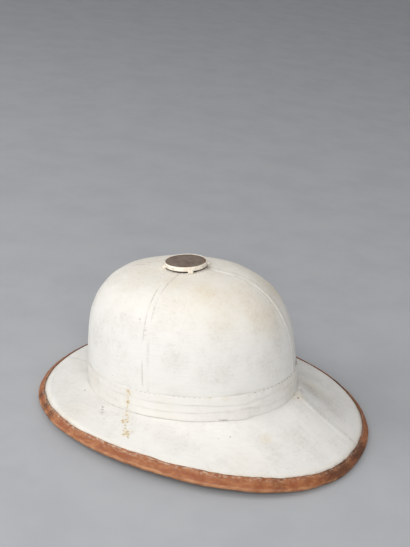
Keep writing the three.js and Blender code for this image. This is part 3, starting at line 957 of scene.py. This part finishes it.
def makeStitches(material):
    s = stitchSettings
    clearSelection()
    bpy.ops.mesh.primitive_cylinder_add(vertices=s['sides'], radius=s['radius'] * mm,
                                        depth=s['length'] * mm, location=(0, 0, 0),
                                        rotation=(0, math.pi / 2, 0))
    stitches = bpy.context.object
    stitches.name = stitches.data.name = 'bandStitches'
    bpy.ops.object.transform_apply(location=False, rotation=True, scale=False)
    steps, travelled = alongBand(s['up'], s['proud'])
    pitch = travelled[-1] / s['count']
    editMesh(stitches, (bpy.ops.mesh.subdivide, {'number_cuts': 2}))
    applyModifier(stitches, 'ARRAY', count=s['count'], use_relative_offset=False,
                  use_constant_offset=True, constant_offset_displace=(pitch * mm, 0, 0))
    flat = pointsOf(stitches) / mm
    number = np.round(flat[:, 0] / pitch)
    local = flat[:, 0] - number * pitch
    column = np.interp(flat[:, 0], travelled, steps)
    end = np.abs(local) / (s['length'] / 2)
    thin = np.sqrt(np.clip(1 + s['blunt'] - end ** 2, s['blunt'], 1))
    inLine = np.stack([number * s['waveStep'], 0 * number, 0 * number], -1)
    up = s['up'] + s['wave'] * swell(inLine, 11, 91) + flat[:, 2] * thin / form['bandHeight']
    proud = s['proud'] + flat[:, 1] * thin - s['sunk'] * end ** 2
    movePoints(stitches, bandAt(column % columns, up, proud))
    editMesh(stitches, faceOutwards)
    # dirty thread, and painted shade of the open crease along the band's top edge
    dirtyAndShaded = np.zeros(len(column))
    for low, high, strength in s['dark']:
        dirtyAndShaded = np.where((column >= low) & (column < high), strength, dirtyAndShaded)
    chance = np.random.default_rng(92).uniform(0, 1, s['count'])
    dirtyAndShaded = dirtyAndShaded * smooth(chance[number.astype(int)], 0.15, 0.6)
    mark(stitches, 'dirtyAndShaded', dirtyAndShaded)
    finishPiece(stitches, [], material, 60)


makeStitches(stitchPaint())


# Leather binding, folded over the lip of the brim

leatherPaint = {
    'tan': shade(168, 110, 70), 'deep': shade(142, 82, 48), 'light': shade(196, 146, 108),
    'dark': shade(76, 44, 28), 'red': shade(138, 66, 38), 'dust': shade(206, 188, 166),
}


def wornLeather():
    paint = leatherPaint
    start, spot = startMaterial('wornTanLeather')
    grain = spot.cells(1.1)
    pores = spot.noise(2.2, 3.0, 0.65)
    patch = spot.noise(0.045, 4.0, 0.6)
    along = clothPlaces(start)
    small = along.stretch(0.1, 0.2, 1).noise(1.0, 5.0, 0.65)
    speckle = along.stretch(0.26, 0.42, 1).noise(1.0, 5.0, 0.7)
    rolled, rim, dusty, darkened = painted(start, 'rolled', 'rim', 'dusty', 'darkened')

    stain = (darkened * small.between(0.3, 0.55, 0.5, 1.1)).least(1.0)
    scuff = speckle.between(0.44, 0.66) * (0.05 + rim * 0.55)
    scuff = (scuff + dusty * speckle.between(0.4, 0.7) * (0.15 + rim * 0.5)).least(0.8)
    colour = layered(paint, 'tan', [
        (small.between(0.36, 0.62), 'deep'),
        (patch.between(0.46, 0.6) * speckle.between(0.4, 0.6) * 0.8, 'red'),
        (rolled * small.between(0.3, 0.6, 0.8, 0.3), 'light'),
        (stain, 'dark'),
        (scuff * (1 - rolled * 0.5), 'dust'),
        (rim.between(0.9, 1.0) * small.between(0.35, 0.6) * 0.6, 'dark'),
    ])
    relief = grain * 0.1 + pores * 0.1 + small * 0.3 + speckle * 0.12
    roughness = 0.52 + small * 0.25 + scuff * 0.2 - rolled * 0.08
    return finishMaterial(start, colour, roughness, bump(relief), Specular_IOR_Level=0.35)


bindingSettings = {
    'around': 760, 'outside': 34, 'inside': 12,
    'underLeg': 8.5, 'legShare': 0.36, 'underShare': 0.26, 'thickness': 1.15,
    'groove': 0.22, 'grooveAt': 0.02, 'grooveWidth': 0.03, 'rimFrom': 0.35, 'rolledWidth': 0.07,
    'ragged': ((30, 0.45), (8, 0.25)), 'lumps': ((34, 0.2), (9, 0.14)),
    'lumpsAcross': 6,
    'leatherAround': 20.5, 'leatherAcross': 28,     # millimetres of leather to a column, and across
}

# Dusty and darkened stretches of the leather: column, half width in columns, and strength
leatherDust = [(8.0, 6.0, 0.6), (1.0, 4.0, 0.4), (14.0, 4.0, 0.4), (36.0, 5.0, 0.4)]
leatherStains = [(4.6, 0.4, 0.7), (5.9, 0.5, 0.6), (6.9, 0.4, 0.5), (21.8, 1.8, 0.65),
                 (23.8, 1.0, 0.75), (18.2, 0.4, 0.3), (30.0, 0.8, 0.5), (41.0, 0.6, 0.5)]


def stretches(column, rows):
    solid = 0.3        # of the half width
    total = np.zeros(len(column))
    for middle, half, strength in rows:
        away = np.abs((column - middle + columns / 2) % columns - columns / 2)
        total += strength * (1 - smooth(away, half * solid, half))
    return np.minimum(total, 1)


def makeBinding(material):
    s = bindingSettings
    binding, column, row = addRing('edgeBinding', s['around'], s['outside'] + s['inside'])
    radius = form['edgeRadius']
    centre = edgeAt(column)
    level, upLip, square = edgeFrame(column)
    ragged = lumpy(centre * [1, 1, 0], s['ragged'], 81)
    isOutside = row < s['outside']
    share = np.where(isOutside, row / (s['outside'] - 1),
                     1 - (row - s['outside'] + 0.5) / s['inside'])
    covered = np.clip(1 - share / s['legShare'], 0, 1)
    topReach = (legAt(column) + ragged) * covered
    underReach = s['underLeg'] * np.clip((share - 1) / s['underShare'] + 1, 0, 1)
    rollShare = np.clip((share - s['legShare']) / (1 - s['legShare'] - s['underShare']), 0, 1)
    angle = np.pi / 2 - form['lipSlope'] - rollShare * np.pi
    lumps = lumpy(centre + level * s['lumpsAcross'] * share[:, None], s['lumps'], 85)
    groove = s['groove'] * softLine(share - s['legShare'] - s['grooveAt'], s['grooveWidth'])
    reach = radius + np.where(isOutside, lumps - groove, -s['thickness'])
    arc = centre + level * (reach * np.cos(angle))[:, None]
    arc[:, 2] += reach * np.sin(angle)
    topLeg = centre + square * reach[:, None] + upLip * topReach[:, None]
    underLeg = centre - square * reach[:, None] + upLip * underReach[:, None]
    points = np.where((share < s['legShare'])[:, None], topLeg, arc)
    points = np.where((share > 1 - s['underShare'])[:, None], underLeg, points)
    points[:, 2] = np.maximum(points[:, 2], 0)
    movePoints(binding, points)
    editMesh(binding, faceOutwards)
    mark(binding, 'rolled', smooth(share, s['legShare'], s['legShare'] + s['rolledWidth']))
    mark(binding, 'rim', smooth(covered, s['rimFrom'], 1.0) * isOutside)
    mark(binding, 'dusty', stretches(column, leatherDust))
    mark(binding, 'darkened', stretches(column, leatherStains))
    layCloth(binding, column * s['leatherAround'], share * s['leatherAcross'])
    finishPiece(binding, ['edge_binding'], material, 60)


makeBinding(wornLeather())


# Pith under the cloth

pithSettings = {
    'around': 192, 'crownRows': 44, 'brimRows': 26,
    'under': 1.3, 'crownWall': 5.5,
    'brimOut': (0, 0.2, 0.6, 1, 1.2), 'brimWall': (5.5, 4.8, 2.8, 1.9, 1.9),
    'endShare': 0.003,        # left open where the two walls meet
    'pale': shade(206, 196, 170), 'dull': shade(188, 174, 144), 'fibre': shade(160, 142, 110),
}


def plainPith():
    start, spot = startMaterial('clothFacedPith')
    fibre = spot.stretch(1, 1, 0.4).noise(0.8, 4.0, 0.65)
    patch = spot.noise(0.04, 3.0)
    pores = spot.cells(0.5)
    colour = layered(pithSettings, 'pale', [(patch.between(0.35, 0.7), 'dull'),
                                            (fibre.between(0.45, 0.7) * 0.5, 'fibre')])
    return finishMaterial(start, colour, 0.9 + fibre * 0.08, bump(fibre * 0.25 + pores * 0.1),
                          Specular_IOR_Level=0.2)


def makePith(name, nodes, rows, place, farEnd, turned, wallOf, material):
    s = pithSettings
    wall, column, row = addRing(name, s['around'], rows * 2)
    isOutside = row < rows
    share = np.where(isOutside, row, 2 * rows - 1 - row) / (rows - 1)
    share = farEnd * (s['endShare'] + share * (1 - 2 * s['endShare']))
    outward = outwardOf(place, column, share, turned)
    depth = s['under'] + np.where(isOutside, 0, wallOf(share))
    movePoints(wall, place(column, share) - outward * depth[:, None])
    editMesh(wall, faceOutwards)
    finishPiece(wall, nodes, material, 50)


pith = plainPith()
makePith('pithCrown', ['pith_crown_left', 'pith_crown_right'], pithSettings['crownRows'],
         crownAt, 1, 1, lambda share: pithSettings['crownWall'], pith)
makePith('pithBrim', ['pith_brim'], pithSettings['brimRows'], brimAt, 1 + form['lipShare'], -1,
         lambda share: np.interp(share, pithSettings['brimOut'], pithSettings['brimWall']), pith)


# Ventilator: a white dish on four feet, with a bare metal disc in it, on a hidden tube

capSettings = {
    'radius': 21.2, 'top': 6.1, 'underside': 1.7, 'lip': 0.9, 'recess': 1.5,
    'wall': 1.2, 'web': 3.4, 'round': 0.4, 'sides': 112,
    'feet': 4, 'footStart': math.radians(35), 'footWidth': 5, 'footInside': 20.6,
    'footReach': 23.6, 'footTop': 3, 'footRound': 0.7,
    'white': shade(246, 240, 228), 'aged': shade(228, 217, 199), 'chipped': shade(122, 96, 72),
}
discSettings = {
    'radius': 20, 'low': 4.9, 'top': 6.0, 'round': 0.5,
    'rings': ((2.2, 0.04), (4.0, 0.05), (4.5, 0.04), (4.5, 0.02)),        # inset and rise
    'brushAround': 14, 'brushInwards': 0.12, 'rustFrom': 15.5, 'rustTo': 19.5,
    'metal': shade(134, 120, 107), 'dull': shade(104, 91, 80), 'bright': shade(152, 139, 126),
    'pitted': shade(84, 72, 62), 'rust': shade(146, 100, 64),
}
tubeSettings = {
    'radius': 9.4, 'wall': 1.4, 'flange': 16, 'flangeTop': -7.4, 'flangeLow': -8.8,
    'top': 3.1, 'low': -10.2, 'round': 0.3,
    'metal': shade(122, 108, 96), 'dull': shade(92, 80, 70), 'rust': shade(140, 84, 50),
}


def addDrum(name, radius, low, high):
    clearSelection()
    bpy.ops.mesh.primitive_cylinder_add(vertices=capSettings['sides'], radius=radius * mm,
                                        depth=(high - low) * mm,
                                        location=(0, 0, (low + high) / 2 * mm))
    bpy.ops.object.transform_apply(location=True, rotation=False, scale=False)
    drum = bpy.context.object
    drum.name = drum.data.name = name
    return drum


def editWhere(piece, kind, test, *steps):
    # kind is FACE or EDGE: edits those whose middle, in millimetres, and normal pass the test
    pick(piece)
    bpy.ops.object.mode_set(mode='EDIT')
    bpy.ops.mesh.select_mode(type=kind)
    bpy.ops.mesh.select_all(action='DESELECT')
    bpy.ops.object.mode_set(mode='OBJECT')
    corners = piece.data.vertices
    for item in piece.data.polygons if kind == 'FACE' else piece.data.edges:
        ends = [corners[i].co / mm for i in item.vertices]
        middle = sum(ends, Vector()) / len(ends)
        item.select = bool(test(middle, ends, item.normal if kind == 'FACE' else None))
    bpy.ops.object.mode_set(mode='EDIT')
    for operator, settings in steps:
        operator(**settings)
    bpy.ops.object.mode_set(mode='OBJECT')


def push(distance):
    return (bpy.ops.mesh.extrude_region_move,
            {'TRANSFORM_OT_translate': {'value': (0, 0, distance * mm)}})


def inset(thickness, rise=0.0):
    return (bpy.ops.mesh.inset, {'thickness': thickness * mm, 'depth': rise * mm})


def rounded(radius, segments=3):
    return (bpy.ops.mesh.bevel, {'offset': radius * mm, 'segments': segments, 'affect': 'EDGES'})


sameHeight, sameRadius = 0.02, 0.05        # how near a face or an edge counts as there
levelNormal = 0.9                          # least upward part of a level face's normal


def facesAt(height, upwards):
    # the flat faces at one height that look up or down
    return lambda middle, ends, normal: (abs(middle.z - height) < sameHeight
                                         and normal.z * upwards > levelNormal)


def edgesAt(*heights):
    # the edges that run round at one of these heights
    return lambda middle, ends, normal: any(all(abs(end.z - height) < sameHeight for end in ends)
                                            for height in heights)


def seatOnCrown(piece):
    pick(piece)
    piece.matrix_world = ventPlace
    bpy.ops.object.transform_apply(location=True, rotation=True, scale=True)


def makeCap(material):
    s = capSettings
    cap = addDrum('ventCap', s['radius'], s['underside'], s['top'])
    editWhere(cap, 'FACE', facesAt(s['top'], 1), inset(s['lip']), push(-s['recess']))
    editWhere(cap, 'FACE', facesAt(s['underside'], -1), inset(s['wall']),
              push(s['web'] - s['underside']))
    editWhere(cap, 'EDGE', edgesAt(s['top'], s['underside']), rounded(s['round']))
    feet = []
    for number in range(s['feet']):
        turn = s['footStart'] + number * 2 * math.pi / s['feet'] - math.pi / 2
        clearSelection()
        bpy.ops.mesh.primitive_cube_add(size=1)
        foot = bpy.context.object
        foot.scale = Vector((s['footReach'] - s['footInside'], s['footWidth'], s['footTop'])) * mm
        foot.location = Vector(((s['footReach'] + s['footInside']) / 2, 0, s['footTop'] / 2)) * mm
        bpy.ops.object.transform_apply(location=True, rotation=False, scale=True)
        editMesh(foot, rounded(s['footRound']))
        foot.rotation_euler.z = turn
        bpy.ops.object.transform_apply(location=False, rotation=True, scale=False)
        feet.append(foot)
    pick(cap)
    for foot in feet:
        foot.select_set(True)
    bpy.ops.object.join()
    seatOnCrown(cap)
    finishPiece(cap, ['vent_cap'], material, 35)


def makeDisc(material):
    s = discSettings
    disc = addDrum('ventCapFace', s['radius'], s['low'], s['top'])
    editWhere(disc, 'EDGE', edgesAt(s['top']), rounded(s['round']))
    editWhere(disc, 'FACE', facesAt(s['top'], 1), *[inset(*ring) for ring in s['rings']])
    flat = pointsOf(disc) / mm
    reach = np.hypot(flat[:, 0], flat[:, 1])
    turn = np.arctan2(flat[:, 1], flat[:, 0])
    mark(disc, 'reach', reach)
    mark(disc, 'turnAcross', np.cos(turn))
    mark(disc, 'turnAlong', np.sin(turn))
    seatOnCrown(disc)
    finishPiece(disc, ['vent_cap_face'], material, 35)


def makeTube(material):
    s = tubeSettings
    tube = addDrum('ventTube', s['flange'], s['flangeLow'], s['flangeTop'])
    step = s['flange'] - s['radius']
    editWhere(tube, 'FACE', facesAt(s['flangeTop'], 1), inset(step), push(s['top'] - s['flangeTop']))
    editWhere(tube, 'FACE', facesAt(s['flangeLow'], -1), inset(step), push(s['low'] - s['flangeLow']))
    editWhere(tube, 'FACE', facesAt(s['top'], 1), inset(s['wall']))
    editWhere(tube, 'FACE', facesAt(s['low'], -1), inset(s['wall']))
    bore = s['radius'] - s['wall']

    def closesBore(middle, ends, normal):
        return abs(normal.z) > levelNormal and math.hypot(middle.x, middle.y) < bore / 2

    def isBoreEdge(middle, ends, normal):
        return all(abs(math.hypot(end.x, end.y) - bore) < sameRadius for end in ends)

    editWhere(tube, 'FACE', closesBore, (bpy.ops.mesh.delete, {'type': 'FACE'}))
    editWhere(tube, 'EDGE', isBoreEdge, (bpy.ops.mesh.bridge_edge_loops, {}))
    editMesh(tube, faceOutwards)
    applyModifier(tube, 'BEVEL', width=s['round'] * mm, segments=2, limit_method='ANGLE')
    seatOnCrown(tube)
    finishPiece(tube, ['vent_tube'], material, 35)


def agedEnamel():
    start, spot = startMaterial('agedWhitePaint')
    patch = spot.noise(0.16, 4.0, 0.6)
    chip = spot.noise(0.55, 3.0, 0.6)
    colour = layered(capSettings, 'white', [(patch.between(0.4, 0.7), 'aged'),
                                            (chip.between(0.63, 0.69), 'chipped')])
    return finishMaterial(start, colour, 0.45 + patch * 0.2, bump(chip * 0.2 + patch * 0.3))


def brushedDisc():
    s = discSettings
    start, spot = startMaterial('brushedTarnish')
    reach, across, along = painted(start, 'reach', 'turnAcross', 'turnAlong')
    spokes = start.make('CombineXYZ', {}, {0: across * s['brushAround'], 1: along * s['brushAround'],
                                           2: reach * s['brushInwards']})
    brushing = spokes.noise(1.0, 3.0, 0.6)
    patch = spot.noise(0.11, 4.0, 0.6)
    fine = spot.noise(0.9, 4.0, 0.65)
    rusty = reach.between(s['rustFrom'], s['rustTo']) * patch.between(0.48, 0.62)
    colour = layered(s, 'metal', [
        (patch.between(0.35, 0.7), 'dull'),
        (brushing.between(0.42, 0.62) * 0.5, 'bright'),
        (fine.between(0.52, 0.7) * 0.5, 'pitted'),
        (rusty * fine.between(0.35, 0.6) * 0.8, 'rust'),
    ])
    return finishMaterial(start, colour, 0.52 + fine * 0.2, bump(brushing * 0.12 + fine * 0.1),
                          Metallic=0.35)


def tarnishedMetal():
    start, spot = startMaterial('tarnishedMetal')
    patch = spot.noise(0.12, 4.0, 0.6)
    fine = spot.noise(1.2, 4.0, 0.6)
    rusty = patch.between(0.58, 0.72) * fine.between(0.4, 0.6)
    colour = layered(tubeSettings, 'metal', [(patch.between(0.35, 0.7), 'dull'), (rusty, 'rust')])
    return finishMaterial(start, colour, 0.5 + fine * 0.2, bump(fine * 0.1), Metallic=0.5)


makeCap(agedEnamel())
makeDisc(brushedDisc())
makeTube(tarnishedMetal())
